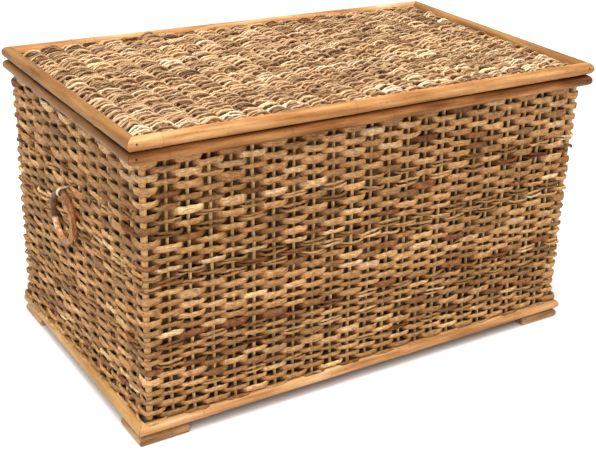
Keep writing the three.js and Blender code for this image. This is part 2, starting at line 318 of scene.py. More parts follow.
WICKER = [
    (0.0, (0.085, 0.026, 0.006)),
    (0.2, (0.21, 0.068, 0.017)),
    (0.38, (0.24, 0.125, 0.040)),
    (0.58, (0.38, 0.178, 0.060)),
    (0.8, (0.51, 0.275, 0.110)),
    (1.0, (0.62, 0.405, 0.21)),
]
PALE_WICKER = [
    (0.0, (0.13, 0.055, 0.02)),
    (0.2, (0.31, 0.14, 0.055)),
    (0.38, (0.42, 0.255, 0.12)),
    (0.58, (0.66, 0.405, 0.20)),
    (0.8, (0.82, 0.57, 0.32)),
    (1.0, (0.94, 0.76, 0.53)),
]
HONEY = [
    (0.0, (0.08, 0.022, 0.004)),
    (0.3, (0.25, 0.090, 0.022)),
    (0.55, (0.42, 0.190, 0.060)),
    (0.8, (0.61, 0.325, 0.135)),
    (1.0, (0.78, 0.52, 0.28)),
]
STRAW = [
    (0.0, (0.07, 0.022, 0.004)),
    (0.3, (0.25, 0.112, 0.033)),
    (0.55, (0.40, 0.208, 0.062)),
    (0.8, (0.57, 0.325, 0.125)),
    (1.0, (0.74, 0.48, 0.22)),
]
CORE = [
    (0.0, (0.22, 0.10, 0.035)),
    (0.4, (0.44, 0.24, 0.09)),
    (1.0, (0.70, 0.46, 0.21)),
]
WEATHERED = [
    (0.0, (0.09, 0.035, 0.012)),
    (0.4, (0.27, 0.135, 0.052)),
    (0.7, (0.40, 0.225, 0.10)),
    (1.0, (0.56, 0.38, 0.21)),
]
RED_ROD = [
    (0.0, (0.04, 0.012, 0.006)),
    (0.3, (0.13, 0.045, 0.016)),
    (0.55, (0.32, 0.12, 0.034)),
    (0.7, (0.50, 0.235, 0.095)),
    (0.84, (0.70, 0.32, 0.09)),
    (1.0, (0.90, 0.72, 0.54)),
]
CREAM = [
    (0.0, (0.48, 0.32, 0.14)),
    (0.6, (0.80, 0.62, 0.34)),
    (1.0, (0.93, 0.82, 0.58)),
]

wicker = weaver_finish("wicker", WICKER, 0.5, 0.18, 0.0)
pale_wicker = weaver_finish("pale_wicker", PALE_WICKER, 0.42, 0.35, 0.08)
core = weaver_finish("rattan_core", CORE, 0.55, 0.2, 0.0)
red_rod = weaver_finish("red_rattan", RED_ROD, 0.4, 0.2, 0.06)
cream_peel = weaver_finish("cream_peel", CREAM, 0.34, 0.5, 0.2)
honey = [
    pole_finish("honey_pole_x", 0, HONEY, 0.38),
    pole_finish("straw_pole_y", 1, STRAW, 0.38, 0.7),
]
weathered = [pole_finish(f"foot_rattan_{'xyz'[axis]}", axis, WEATHERED, 0.5, 2.2) for axis in range(2)]
post_finish = pole_finish("post_rattan", 2, CORE, 0.4)
frame_wood = [
    wood_finish(f"frame_wood_{'xyz'[axis]}", axis, (0.17, 0.1, 0.045), (0.5, 0.35, 0.19))
    for axis in range(2)
]
steel = steel_finish("dull_steel", (0.46, 0.43, 0.38), (0.2, 0.15, 0.1))
dark_iron = steel_finish("dark_iron", (0.05, 0.035, 0.022), (0.02, 0.012, 0.008))


# -------- strands

def smooth_line(rows, steps=STRAND_STEPS, closed=False):
    """Rows sampled along a smooth line through them, with as many steps between each two."""
    if closed:
        before, after, later = (np.roll(rows, shift, axis=0) for shift in (1, -1, -2))
    else:
        padded = np.vstack([2 * rows[0] - rows[1], rows, 2 * rows[-1] - rows[-2]])
        before, rows, after, later = padded[:-3], padded[1:-2], padded[2:-1], padded[3:]
        end = after[-1:]
    t = (np.arange(steps) / steps)[None, :, None]
    a, b, c, d = (x[:, None, :] for x in (before, rows, after, later))
    cubic = 2 * b + (c - a) * t + (2 * a - 5 * b + 4 * c - d) * t**2 + (3 * b - a - 3 * c + d) * t**3
    samples = (cubic / 2).reshape(-1, rows.shape[1])
    return samples if closed else np.vstack([samples, end])


def unit(vectors):
    return vectors / np.linalg.norm(vectors, axis=1, keepdims=True)


class Strands:
    """Closed strands gathered into one mesh.

    A row of a strand's table is its centre, half width, half depth, roll, tint and light. A weaver's has
    one number more: 1 where it shows and 0 where the stakes hide it."""

    def __init__(self, sides, squareness=0.75):
        angle = np.arange(sides) * 2 * math.pi / sides
        self.sides = sides
        self.wide = np.sign(np.cos(angle)) * np.abs(np.cos(angle)) ** squareness
        self.deep = np.sign(np.sin(angle)) * np.abs(np.sin(angle)) ** squareness
        self.points, self.faces, self.count = [], [], 0
        self.facts = {"along": [], "around": [], "tint": [], "light": []}

    def add(self, table, across, bundle=1, start=0.0, knobs=0.0):
        """Lays a strand, or a bundle of thinner ones side by side. across is its broad direction."""
        centre, half_width, half_depth, roll = table[:, :3], table[:, 3], table[:, 4], table[:, 5]
        tangent = unit(np.gradient(centre, axis=0))
        out = unit(np.cross(tangent, across))
        broad = np.cross(out, tangent)
        turn, lean = np.cos(roll)[:, None], np.sin(roll)[:, None]
        broad, out = broad * turn + out * lean, out * turn - broad * lean
        steps = np.linalg.norm(np.diff(centre, axis=0), axis=1)
        along = start + np.concatenate([[0], np.cumsum(steps)])
        shown = np.clip(table[:, 8] * 1.6 - 0.6, 0, 1) if table.shape[1] > 8 else 1.0
        for k in range(bundle):
            shift = (2 * k + 1 - bundle) / bundle * half_width
            loose = (bundle > 1) * half_width * shown
            wave = np.sin(along * 47 + 2.4 * k + start) * BUNDLE_WAVE * loose
            lift = np.sin(along * 63 + 1.7 * k + 2 * start) * BUNDLE_LIFT * loose
            line = centre + broad * (shift + wave)[:, None] + out * lift[:, None]
            line[1:-1] += rng.normal(0, knobs, line[1:-1].shape) * 0.25 * MM
            slim = rng.uniform(*SLIM) if bundle > 1 else 1.0
            fill = HIDDEN_FILL + (slim - HIDDEN_FILL) * shown
            share = (1 + rng.normal(0, 0.06 * knobs, len(line))) * fill
            paint = table[:, 6:8]
            if bundle > 1:
                paint = paint + (rng.normal(0, 0.1), rng.normal(0, 0.06))
            self.tube(line, broad, out, half_width / bundle * share, half_depth, paint, along + 0.37 * k)

    def tube(self, centre, broad, out, half_width, half_depth, paint, along):
        """Adds one closed tube of points round a centre line."""
        width = (half_width[:, None] * self.wide)[..., None]
        depth = (half_depth[:, None] * self.deep)[..., None]
        points = centre[:, None] + broad[:, None] * width + out[:, None] * depth
        n, k, first = len(centre), self.sides, self.count
        ring = first + np.arange(n - 1)[:, None] * k
        here, there = ring + np.arange(k), ring + (np.arange(k) + 1) % k
        self.faces.extend(np.stack([here, there, there + k, here + k], axis=-1).reshape(-1, 4).tolist())
        self.faces.append(list(range(first + k - 1, first - 1, -1)))
        self.faces.append(list(range(first + (n - 1) * k, first + n * k)))
        self.points.append(points.reshape(-1, 3))
        self.count += n * k
        self.facts["along"].append(np.repeat(along, k))
        self.facts["around"].append(np.tile(np.abs(np.arange(k) - k / 2) / k * 2, n))
        self.facts["tint"].append(np.repeat(paint[:, 0], k))
        self.facts["light"].append(np.repeat(paint[:, 1], k))

    def piece(self, name, body, slot, finish, replaced=()):
        mesh = bpy.data.meshes.new(name)
        mesh.from_pydata(np.vstack(self.points).tolist(), [], self.faces)
        for fact, values in self.facts.items():
            paint_points(mesh, fact, np.concatenate(values))
        mesh.polygons.foreach_set("use_smooth", [len(face) == 4 for face in self.faces])
        return settle(add_object(name, mesh), body, finish, replaced)


def add_object(name, data):
    made = bpy.data.objects.new(name, data)
    bpy.context.scene.collection.objects.link(made)
    return made


def paint_points(mesh, name, values):
    """Gives each point of a mesh a number that the finishes read."""
    layer = mesh.attributes.new(name, "FLOAT", "POINT")
    layer.data.foreach_set("value", values.astype(np.float32))


def settle(piece, body, finish, replaced=()):
    """Gives a finished piece its material, its body and the nodes it stands for."""
    piece.data.materials.clear()
    piece.data.materials.append(finish)
    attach(piece, body)
    if replaced:
        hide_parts(*replaced)
    return piece


def weaver_half_width(width, share, run, light):
    """Half the width of a weaver at a control. Where it is hidden it is never a thin one."""
    return width / 2 * share * (run[2] if light > LIT else max(run[2], 1.0))


def strand_tint():
    """A rattan strand's tint: mostly tan and straw, some cream, olive, brown or red-brown."""
    kind = rng.random()
    if kind < 0.07:
        return rng.uniform(0.12, 0.3)
    if kind < 0.27:
        return rng.uniform(0.33, 0.46)
    if kind < 0.80:
        return rng.uniform(0.5, 0.74)
    return rng.uniform(0.76, 0.96)


def weaver_run(count, change, spread=0.8):
    """For each stake that a row passes: its weaver's tint, light, width and depth.

    Weavers end and begin now and then. A small spread keeps the tints near the middle one."""
    runs = np.empty((count, 4))
    tint, width, depth = strand_tint(), 1.0, 1.0
    for i in range(count):
        if i == 0 or rng.random() < change:
            tint = strand_tint()
            width = rng.uniform(0.84, 1.14)
            depth = rng.uniform(0.85, 1.2)
        light = rng.normal(1.0, 0.13)
        here = tint if rng.random() < 0.75 else strand_tint()
        near = MIDDLE_TINT + (here - MIDDLE_TINT) * spread
        runs[i] = (near + rng.normal(0, 0.07), light, width * rng.uniform(0.85, 1.15), depth)
    return runs


def row_places(low, high, pitch, widening=0.0, uneven_by=0.26):
    """The places of the rows between two edges, uneven as the weavers' widths are, and those widths."""
    count = round((high - low) / pitch)
    widths = rng.uniform(1 - uneven_by, 1 + uneven_by, count)
    widths = widths * np.linspace(1 - widening, 1 + widening, count)
    widths *= (high - low) / widths.sum()
    return low + np.cumsum(widths) - widths / 2, widths


# -------- the woven walls

SIDES = [
    ("front", Vector((-POST_X, -POST_Y, 0)), Vector((1, 0, 0)), 2 * POST_X, FRONT_STAKES),
    ("right", Vector((POST_X, -POST_Y, 0)), Vector((0, 1, 0)), 2 * POST_Y, SIDE_STAKES),
    ("back", Vector((POST_X, POST_Y, 0)), Vector((-1, 0, 0)), 2 * POST_X, FRONT_STAKES),
    ("left", Vector((-POST_X, POST_Y, 0)), Vector((0, -1, 0)), 2 * POST_Y, SIDE_STAKES),
]


# How a weaver lies at a control: how far out, its share of the row's width, its drop, and its light, which
# is painted shade where it dives or lies behind a stake.
OFFSET = STAKE_RADIUS + WEAVER_HALF_DEPTH
LIE = {
    "over": (OFFSET + SLACK, 1.2, PRESSED, 1.0),
    "bend": (OFFSET - SLACK, 1.16, 0.2 * MM, 1.0),
    "tuck": (-OFFSET + 1.4 * MM, 2.05, 0.0, 0.4),
    "behind": (-OFFSET, 1.95, 0.0, INSIDE_LIGHT),
}


def outward(direction):
    return Vector((direction.y, -direction.x, 0))


def out_of_true(point):
    """Moves a point of the woven body as its nearest corners have moved."""
    right = (point.x / POST_X + 1) / 2
    back = (point.y / POST_Y + 1) / 2
    front_drift = CORNER_DRIFT["front_left"] * (1 - right) + CORNER_DRIFT["front_right"] * right
    back_drift = CORNER_DRIFT["back_left"] * (1 - right) + CORNER_DRIFT["back_right"] * right
    return point + Vector((front_drift * (1 - back) + back_drift * back, 0, 0))


def foot_spread(z):
    return FOOT_SPREAD * max(0.0, 1 - (z - WALL_LOW + BOTTOM_DROP) / FOOT_SPREAD_HEIGHT)


def on_wall(side, share, z):
    """A point in the middle of a wall's thickness, with the stakes' lean and the wall's bulge."""
    _, corner, direction, length, stakes = side
    height = (z - WALL_LOW) / (WALL_HIGH - WALL_LOW)
    near_corner = min(1.0, share * (stakes + 1) / 3, (1 - share) * (stakes + 1) / 3)
    lean = STAKE_LEAN * (1 - 2 * height) * near_corner
    bulge = WALL_BULGE * math.sin(math.pi * height) * math.sin(math.pi * share) + foot_spread(z)
    point = out_of_true(corner + direction * (length * share + lean) + outward(direction) * bulge)
    return Vector((point.x, point.y, z))


def corner_rows(before, after, over, z, facts):
    """How a weaver passes a corner post: three points round its outside, or one across its inside."""
    corner = out_of_true(after[1]) + (outward(before[2]) + outward(after[2])) * foot_spread(z)
    first, last = outward(before[2]), outward(after[2])
    clear = POST_RADIUS + WEAVER_HALF_DEPTH - CORNER_HUG
    if not over:
        return [], [(corner - (first + last).normalized() * clear, *facts)], []
    apex = corner + (first + last).normalized() * clear
    return [(corner + first * clear, *facts)], [(apex, *facts)], [(corner + last * clear, *facts)]


def wall_row(row, z):
    """The controls of one row, all the way round from the front left post, and where each side starts.

    A control is a point, what its stretch of weaver is like, and how it lies: see LIE."""
    runs = weaver_run(sum(side[4] + 1 for side in SIDES), 0.1)
    controls, starts, tail, site = [], [], [], 0
    for index, side in enumerate(SIDES):
        stakes = side[4]
        normal = outward(side[2])
        over = (site + row) % 2 == 0
        lie = "over" if over else "behind"
        rise, apex, fall = corner_rows(SIDES[index - 1], side, over, z, (runs[site], lie))
        if index == 0:
            tail = rise
        else:
            controls += rise
        starts.append(len(controls))
        controls += apex + fall
        for stake in range(stakes + 1):
            over = (site + row) % 2 == 0
            ahead = (site + 1) % len(runs)
            bends = [(BEND_OUT, "bend"), (BEND_IN, "tuck")]
            if not over:
                bends = [(1 - part, lie) for part, lie in reversed(bends)]
            for part, lie in bends:
                run = runs[site] if part < 0.5 else runs[ahead]
                reach = LIE[lie][0] + rng.normal(0, 0.25) * MM
                point = on_wall(side, (stake + part) / (stakes + 1), z) + normal * reach
                controls.append((point, run, lie))
            site += 1
            if stake == stakes:
                break
            lie = "behind" if over else "over"
            point = on_wall(side, (stake + 1) / (stakes + 1), z) + normal * LIE[lie][0]
            controls.append((point, runs[site], lie))
    return controls + tail, starts


def control_table(controls, z, width, wander):
    """Turns a row's controls into the table that a strand is made from."""
    table = np.empty((len(controls), 9))
    for i, (point, run, lie) in enumerate(controls):
        _, share, drop, light = LIE[lie]
        drift = wander(i / len(controls)) + rng.normal(0, 0.35) * MM - drop
        roll = math.radians(rng.normal(6, 10))
        table[i] = (
            point.x, point.y, z + drift,
            weaver_half_width(width, share, run, light), WEAVER_HALF_DEPTH * run[3],
            roll, run[0], run[1] * light, light > LIT,
        )
    return table


def make_walls():
    meshes = {side[0]: Strands(8, 0.85) for side in SIDES}
    places, widths = row_places(WALL_LOW - BOTTOM_DROP, WALL_HIGH, WEAVER_PITCH, ROW_WIDENING)
    phases = rng.uniform(0, 2 * math.pi, 3)
    for row, (z, width) in enumerate(zip(places, widths)):
        edge = min(1.0, row / 4, (len(places) - 1 - row) / 4)

        def wander(u, row=row, edge=edge):
            turn = 2 * math.pi * u
            long_wave = LONG_WAVE * math.sin(3 * turn + 0.12 * row + phases[0])
            short_wave = SHORT_WAVE * math.sin(11 * turn + 0.31 * row + phases[1])
            return edge * (long_wave + short_wave)

        controls, starts = wall_row(row, z)
        samples = smooth_line(control_table(controls, z, width, wander), closed=True)
        bundle = 2 if rng.random() < PAIRED_ROWS else 1
        for index, side in enumerate(SIDES):
            first = starts[index] * STRAND_STEPS
            last = starts[index + 1] * STRAND_STEPS if index < 3 else len(samples)
            part = np.vstack([samples[first:last], samples[last % len(samples)]])
            meshes[side[0]].add(part, (0, 0, 1), bundle, start=3.1 * row + index, knobs=1.5)
    for name, mesh in meshes.items():
        mesh.piece(f"wall_{name}_weavers", "trunk", "wicker", wicker, [f"wall_{name}"])


def make_wall_stakes():
    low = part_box("wall_front")[0].z + 2 * MM
    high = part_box("wall_front")[1].z
    for side in SIDES:
        mesh = Strands(8, 1.0)
        for stake in range(side[4]):
            radius = STAKE_RADIUS * rng.uniform(0.9, 1.12)
            tint, light = rng.uniform(*STAKE_TINTS), rng.uniform(*STAKE_LIGHTS)
            share = (stake + 1) / (side[4] + 1)
            rows = []
            for z in np.linspace(low, high, 16):
                inside = min(max(z, WALL_LOW), WALL_HIGH)
                point = on_wall(side, share, inside) + side[2] * rng.normal(0, 0.5) * MM
                rows.append((point.x, point.y, z, radius, radius, 0, tint, light))
            mesh.add(smooth_line(np.array(rows)), tuple(side[2]), start=rng.uniform(0, 9))
        mesh.piece(f"wall_{side[0]}_stakes", "trunk", "stake", core)


# -------- the woven lid and floor

# How a flat panel's weaver lies at a control: its share of the row's width, and its light, which is painted
# shade where it dives, lies behind a stake or ends under a pole.
FLAT_LIE = {
    "over": (1.05, 1.0),
    "bend": (1.05, 1.0),
    "tuck": (1.95, 0.46),
    "behind": (2.1, INSIDE_LIGHT),
    "end": (0.8, 0.6),
}
BEND_HEIGHT, TUCK_DEPTH = 0.74, 0.72  # shares of the height over a stake and of the depth behind it


def flat_row(row, y, width, stakes, z, offset, ends, depth, lift):
    """The controls of one weaver across a flat panel. It dips at both ends, under the poles."""
    runs = weaver_run(len(stakes), 0.16, 0.6)
    end_x, end_z = ends
    rows = [(-end_x, end_z, runs[0], "end")]
    for i, x in enumerate(stakes):
        over = (i + row) % 2 == 0
        height = z + offset + lift + rng.normal(0, 1.2) * MM if over else z - offset
        rows.append((x, height, runs[i], "over" if over else "behind"))
        if i + 1 == len(stakes):
            break
        near, far = (LID_BEND_OUT, LID_BEND_IN) if over else (1 - LID_BEND_OUT, 1 - LID_BEND_IN)
        step = stakes[i + 1] - x
        shown, hidden = (i, i + 1) if over else (i + 1, i)
        bend = (x + step * near, z + (offset + lift) * BEND_HEIGHT, runs[shown], "bend")
        tuck = (x + step * far, z - offset * TUCK_DEPTH, runs[hidden], "tuck")
        rows += [bend, tuck] if over else [tuck, bend]
    rows.append((end_x, end_z, runs[-1], "end"))
    table = np.empty((len(rows), 9))
    for i, (x, height, run, lie) in enumerate(rows):
        share, light = FLAT_LIE[lie]
        drift = 1.4 * MM * math.sin(x * 13 + row * 0.21) + rng.normal(0, 1.3) * MM
        inner = min(1.0, row / 3)
        roll = math.radians(rng.normal(0, 9))
        table[i] = (
            x, y + drift * inner, height,
            weaver_half_width(width, share, run, light), depth * run[3],
            roll, run[0], run[1] * light, light > LIT,
        )
    return table


def flat_stakes(mesh, stakes, half_y, z, radius):
    for x in stakes:
        tint, light = rng.uniform(*STAKE_TINTS), rng.uniform(*STAKE_LIGHTS)
        thick = radius * rng.uniform(0.92, 1.08)
        rows = [
            (x + rng.normal(0, 0.6) * MM, y, z, thick, thick, 0, tint, light)
            for y in np.linspace(-half_y, half_y, 14)
        ]
        mesh.add(smooth_line(np.array(rows)), (1, 0, 0), start=rng.uniform(0, 9))


def make_lid_weave():
    low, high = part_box("lid_weave")
    z = (low.z + high.z) / 2
    offset = STAKE_RADIUS + LID_STRAND_HALF_DEPTH - 0.1 * MM
    first = OUTLINE_X - FIRST_LID_STAKE
    stakes = np.linspace(-first, first, LID_STAKES)
    stakes = stakes + rng.uniform(-LID_STAKE_STRAY, LID_STAKE_STRAY, LID_STAKES)
    ends = (high.x + 5 * MM, low.z + 0.6 * MM)
    places, widths = row_places(low.y, high.y, LID_PITCH, uneven_by=0.36)
    halves = {"front": Strands(6), "back": Strands(6)}
    for row, (y, width) in enumerate(zip(places, widths)):
        table = flat_row(row, y, width, stakes, z, offset, ends, LID_STRAND_HALF_DEPTH, LID_RISE)
        kind = rng.random()
        bundle = 1 if kind < LID_SINGLES else 2 if kind < LID_SINGLES + LID_PAIRS else 3
        half = "front" if row < len(places) / 2 else "back"
        halves[half].add(smooth_line(table), (0, 1, 0), bundle, start=2.3 * row, knobs=1.5)
    halves["front"].piece("lid_weavers_front", "lid", "wicker", pale_wicker, ["lid_weave"])
    halves["back"].piece("lid_weavers_back", "lid", "wicker", pale_wicker)
    mesh = Strands(8, 1.0)
    flat_stakes(mesh, stakes, high.y + 3 * MM, z, STAKE_RADIUS)
    mesh.piece("lid_stakes", "lid", "stake", core)


def make_floor_weave():
    low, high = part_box("floor_weave")
    z = (low.z + high.z) / 2
    radius, depth = 2.6 * MM, 1.2 * MM
    stakes = np.linspace(-POST_X + 20 * MM, POST_X - 20 * MM, LID_STAKES)
    places, widths = row_places(low.y, high.y, LID_PITCH)
    mesh = Strands(6)
    for row, (y, width) in enumerate(zip(places, widths)):
        table = flat_row(row, y, width, stakes, z, radius + depth, (high.x, z), depth, 0)
        mesh.add(smooth_line(table, steps=2), (0, 1, 0), start=1.7 * row)
    mesh.piece("floor_weavers", "trunk", "wicker", wicker, ["floor_weave"])
    mesh = Strands(8, 1.0)
    flat_stakes(mesh, stakes, high.y, z, radius)
    mesh.piece("floor_stakes", "trunk", "stake", core)


# -------- poles, by hand

def deselect():
    bpy.ops.object.select_all(action="DESELECT")


def edit_select(piece, chosen):
    """Selects, in edit mode, the vertices that a test picks, and what joins them."""
    mesh = bmesh.from_edit_mesh(piece.data)
    for vertex in mesh.verts:
        vertex.select = chosen(vertex.co)
    mesh.select_flush_mode()
    bmesh.update_edit_mesh(piece.data)


def cut(point, normal, clear):
    """Cuts all of the edited mesh at a plane. With clear, what is beyond it goes and the cut is closed."""
    bpy.ops.mesh.select_all(action="SELECT")
    bpy.ops.mesh.bisect(plane_co=point, plane_no=normal, clear_outer=clear, use_fill=clear)


def uneven(piece, strength, grain, direction, seed):
    """Pushes the surface about by soft clouds, as a grown pole is never true."""
    clouds = bpy.data.textures.new(f"{piece.name}_{direction}_{seed}", "CLOUDS")
    clouds.noise_scale = grain
    shift = add_object(f"shift_{piece.name}_{seed}", None)
    shift.location = (seed * 0.37, seed * 0.61, seed * 0.23)
    bpy.context.view_layer.update()
    modifier = piece.modifiers.new("uneven", "DISPLACE")
    modifier.texture = clouds
    modifier.texture_coords = "OBJECT"
    modifier.texture_coords_object = shift
    modifier.strength = strength
    modifier.mid_level = 0.5
    modifier.direction = direction
    bpy.ops.object.modifier_apply(modifier=modifier.name)
    bpy.data.objects.remove(shift)


def knot_places(length):
    """Where the rings of a rattan pole are, from its start."""
    places, at = [], rng.uniform(0.04, 0.2)
    while at < length - 0.03:
        places.append(at)
        at += rng.uniform(0.16, 0.34)
    return places


def rattan_pole(name, start, end, radius, planes, sway=1.6 * MM, rise=0.5 * MM, tone=0.55, seam=NO_SEAM):
    """A grown pole between two points, with knots, its ends and flats cut by planes."""
    deselect()
    run = end - start
    direction = run.normalized()
    axis = max(range(3), key=lambda i: abs(direction[i]))
    bpy.ops.mesh.primitive_cylinder_add(
        vertices=POLE_SIDES, radius=radius, depth=run.length,
        location=(start + end) / 2, rotation=run.to_track_quat("Z", "Y").to_euler(),
    )
    pole = bpy.context.object
    pole.name = pole.data.name = name
    bpy.ops.object.transform_apply(location=True, rotation=True, scale=True)
    bpy.ops.object.mode_set(mode="EDIT")
    bpy.ops.mesh.select_mode(type="EDGE")
    mesh = bmesh.from_edit_mesh(pole.data)
    for edge in mesh.edges:
        along = (edge.verts[1].co - edge.verts[0].co).normalized()
        edge.select_set(abs(along.dot(direction)) > 0.99)
    bmesh.update_edit_mesh(pole.data)
    bpy.ops.mesh.subdivide(number_cuts=min(99, round(run.length / POLE_RING)))
    bpy.ops.mesh.select_mode(type="VERT")
    knots = knot_places(run.length)
    for knot in knots:
        for step in (-3, -1, 0, 1, 3):
            cut(start + direction * (knot + step * KNOT_HALF), direction, clear=False)
        edit_select(pole, lambda co: abs((co - start).dot(direction) - knot) < 1.2 * KNOT_HALF)
        swell = [KNOT_SWELL] * 3
        swell[axis] = 1.0
        bpy.ops.transform.resize(value=swell, center_override=start + direction * knot)
    bpy.ops.object.mode_set(mode="OBJECT")
    seed = int(rng.integers(1, 40))
    for way, strength in enumerate((sway, sway, rise)):
        if way != axis and strength > 0:
            uneven(pole, strength, SWAY_GRAIN, "XYZ"[way], seed + way)
    uneven(pole, SKIN_RELIEF, SKIN_GRAIN, "NORMAL", seed + 3)
    bpy.ops.object.mode_set(mode="EDIT")
    for point, normal in planes:
        cut(point, normal, clear=True)
    bpy.ops.object.mode_set(mode="OBJECT")
    paint_pole(pole, start, direction, knots, tone, seam)
    bpy.ops.object.shade_smooth_by_angle(angle=math.radians(40))
    return pole


def paint_pole(pole, start, direction, knots, tone, seam):
    """Marks the knots and the darkening near a seam, dirt and painted shade, and gives each length between
    knots a tone of its own.
    """
    tones = tone + rng.uniform(-0.03, 0.03, len(knots) + 1)
    places = np.array([(vertex.co - start).dot(direction) for vertex in pole.data.vertices])
    marks = np.zeros(len(places))
    for knot in knots:
        marks = np.maximum(marks, np.clip(1 - np.abs(places - knot) / KNOT_HALF, 0, 1))
    heights = np.array([vertex.co.z for vertex in pole.data.vertices])
    dirt = np.clip(1 - np.abs(heights - seam) / SEAM_DIRT_AND_SHADE, 0, 1)
    paint_points(pole.data, "knot", marks)
    paint_points(pole.data, "tone", tones[np.searchsorted(knots, places)])
    paint_points(pole.data, "dirt", dirt)


def mitre(x_sign, y_sign, along_x):
    """The plane at 45 degrees through a corner of the outline, facing off the end of the pole."""
    normal = Vector((x_sign, -y_sign, 0)) if along_x else Vector((-x_sign, y_sign, 0))
    normal.normalize()
    return Vector((x_sign * OUTLINE_X, y_sign * OUTLINE_Y, 0)) - normal * MITRE_GAP, normal


def half_run(low, high, along_x, extra=0.0):
    """The way from the middle of a box to its end along x or y, and a little past it."""
    reach = (high.x - low.x if along_x else high.y - low.y) / 2 + extra
    return Vector((reach, 0, 0)) if along_x else Vector((0, reach, 0))


def frame_pole(stem, side, body, **shape):
    """One pole of a mitred frame of four, over its CAD node."""
    low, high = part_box(f"{stem}_{side}")
    along_x = side in ("front", "back")
    centre = (low + high) / 2
    radius = (high.z - low.z) / 2
    run = half_run(low, high, along_x, MM)
    sign = {"front": -1, "left": -1, "back": 1, "right": 1}[side]
    ends = [mitre(end, sign, True) if along_x else mitre(sign, end, False) for end in (-1, 1)]
    pole = rattan_pole(f"{stem}_{side}_rattan", centre - run, centre + run, radius, ends, **shape)
    return settle(pole, body, honey[0 if along_x else 1], [f"{stem}_{side}"])


def hinge_cutter(name, leaf, up):
    """The room that a hinge needs in a back pole: round its knuckles, and a bed for its leaf."""
    low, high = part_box(leaf)
    _, axis_y, axis_z = LID_HINGE["pos_m"]
    knuckle_radius = high.y - axis_y
    deselect()
    bpy.ops.mesh.primitive_cylinder_add(
        vertices=32, radius=knuckle_radius + HINGE_ROOM, depth=high.x - low.x + 4 * MM,
        location=((low.x + high.x) / 2, axis_y, axis_z), rotation=(0, math.pi / 2, 0),
    )
    cutter = bpy.context.object
    cutter.name = name
    near = axis_z - up * 2 * MM  # past the seam
    far = axis_z + up * HINGE_BED
    bpy.ops.mesh.primitive_cube_add(
        size=1,
        location=((low.x + high.x) / 2, (low.y + axis_y) / 2, (near + far) / 2),
        scale=(high.x - low.x + 3 * MM, axis_y - low.y + 2 * HINGE_ROOM, abs(far - near)),
    )
    bpy.context.object.name = f"{name}_bed"
    cutter.select_set(True)
    return [cutter, bpy.context.object]


def let_in_hinges(pole, leaf_stem, up):
    for side in ("left", "right"):
        for cutter in hinge_cutter(f"cutter_{leaf_stem}_{side}", f"{leaf_stem}_{side}", up):
            modifier = pole.modifiers.new("room", "BOOLEAN")
            modifier.operation = "DIFFERENCE"
            modifier.object = cutter
            deselect()
            pole.select_set(True)
            bpy.context.view_layer.objects.active = pole
            bpy.ops.object.modifier_apply(modifier=modifier.name)
            bpy.data.objects.remove(cutter)


def make_poles():
    by_seam = {"rise": 0.4 * MM, "seam": LID_HINGE["pos_m"][2]}
    for side in ("front", "right", "back", "left"):
        # The rim's front and back poles are a darker tone than the lid's: painted shade under the lid's
        # pole.
        lid_tone, rim_tone_with_shade = (0.6, 0.36) if side in ("front", "back") else (0.32, 0.3)
        lid = frame_pole("lid_pole", side, "lid", tone=lid_tone, **by_seam)
        rim = frame_pole("rim_pole", side, "trunk", tone=rim_tone_with_shade, **by_seam)
        frame_pole("base_pole", side, "trunk", tone=0.66)
        if side == "back":
            let_in_hinges(lid, "hinge_lid_leaf", 1)
            let_in_hinges(rim, "hinge_body_leaf", -1)


def make_feet():
    for y_name, y_sign in (("front", -1), ("back", 1)):
        for x_name, x_sign in (("left", -1), ("right", 1)):
            for word, along_x in (("long", True), ("short", False)):
                node = f"foot_{y_name}_{x_name}_{word}"
                low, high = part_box(node)
                centre = (low + high) / 2
                radius = (high.y - low.y if along_x else high.x - low.x) / 2
                centre.z = high.z - radius
                run = half_run(low, high, along_x)
                planes = [mitre(x_sign, y_sign, along_x), (Vector((0, 0, 0)), Vector((0, 0, -1)))]
                ends = (centre - run, centre + run)
                foot = rattan_pole(f"{node}_rattan", *ends, radius, planes, 0.6 * MM, 0)
                round_end(foot, along_x, -(x_sign if along_x else y_sign))
                settle(foot, "trunk", weathered[0 if along_x else 1], [node])


def round_end(pole, along_x, sign):
    """Rounds the edge of a pole's square end."""
    bpy.ops.object.mode_set(mode="EDIT")
    bpy.ops.mesh.select_mode(type="FACE")
    mesh = bmesh.from_edit_mesh(pole.data)
    for face in mesh.faces:
        face.select_set(face.normal[0 if along_x else 1] * sign > 0.95)
    bmesh.update_edit_mesh(pole.data)
    bpy.ops.mesh.region_to_loop()
    bpy.ops.mesh.bevel(offset=FOOT_END_ROUND, segments=3, profile=0.6)
    bpy.ops.object.mode_set(mode="OBJECT")


def make_posts():
    for y_name in ("front", "back"):
        for x_name in ("left", "right"):
            node = f"corner_post_{y_name}_{x_name}"
            low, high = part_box(node)
            centre = (low + high) / 2
            out = POST_RADIUS - CORNER_POST_RADIUS
            to_corner = Vector((math.copysign(out, centre.x), math.copysign(out, centre.y), 0))
            centre = out_of_true(centre) + to_corner * 0.7
            start, end = Vector((centre.x, centre.y, low.z)), Vector((centre.x, centre.y, high.z))
            post = rattan_pole(f"{node}_rattan", start, end, CORNER_POST_RADIUS, [], 1.0 * MM, 0)
            settle(post, "trunk", post_finish, [node])


# -------- nails

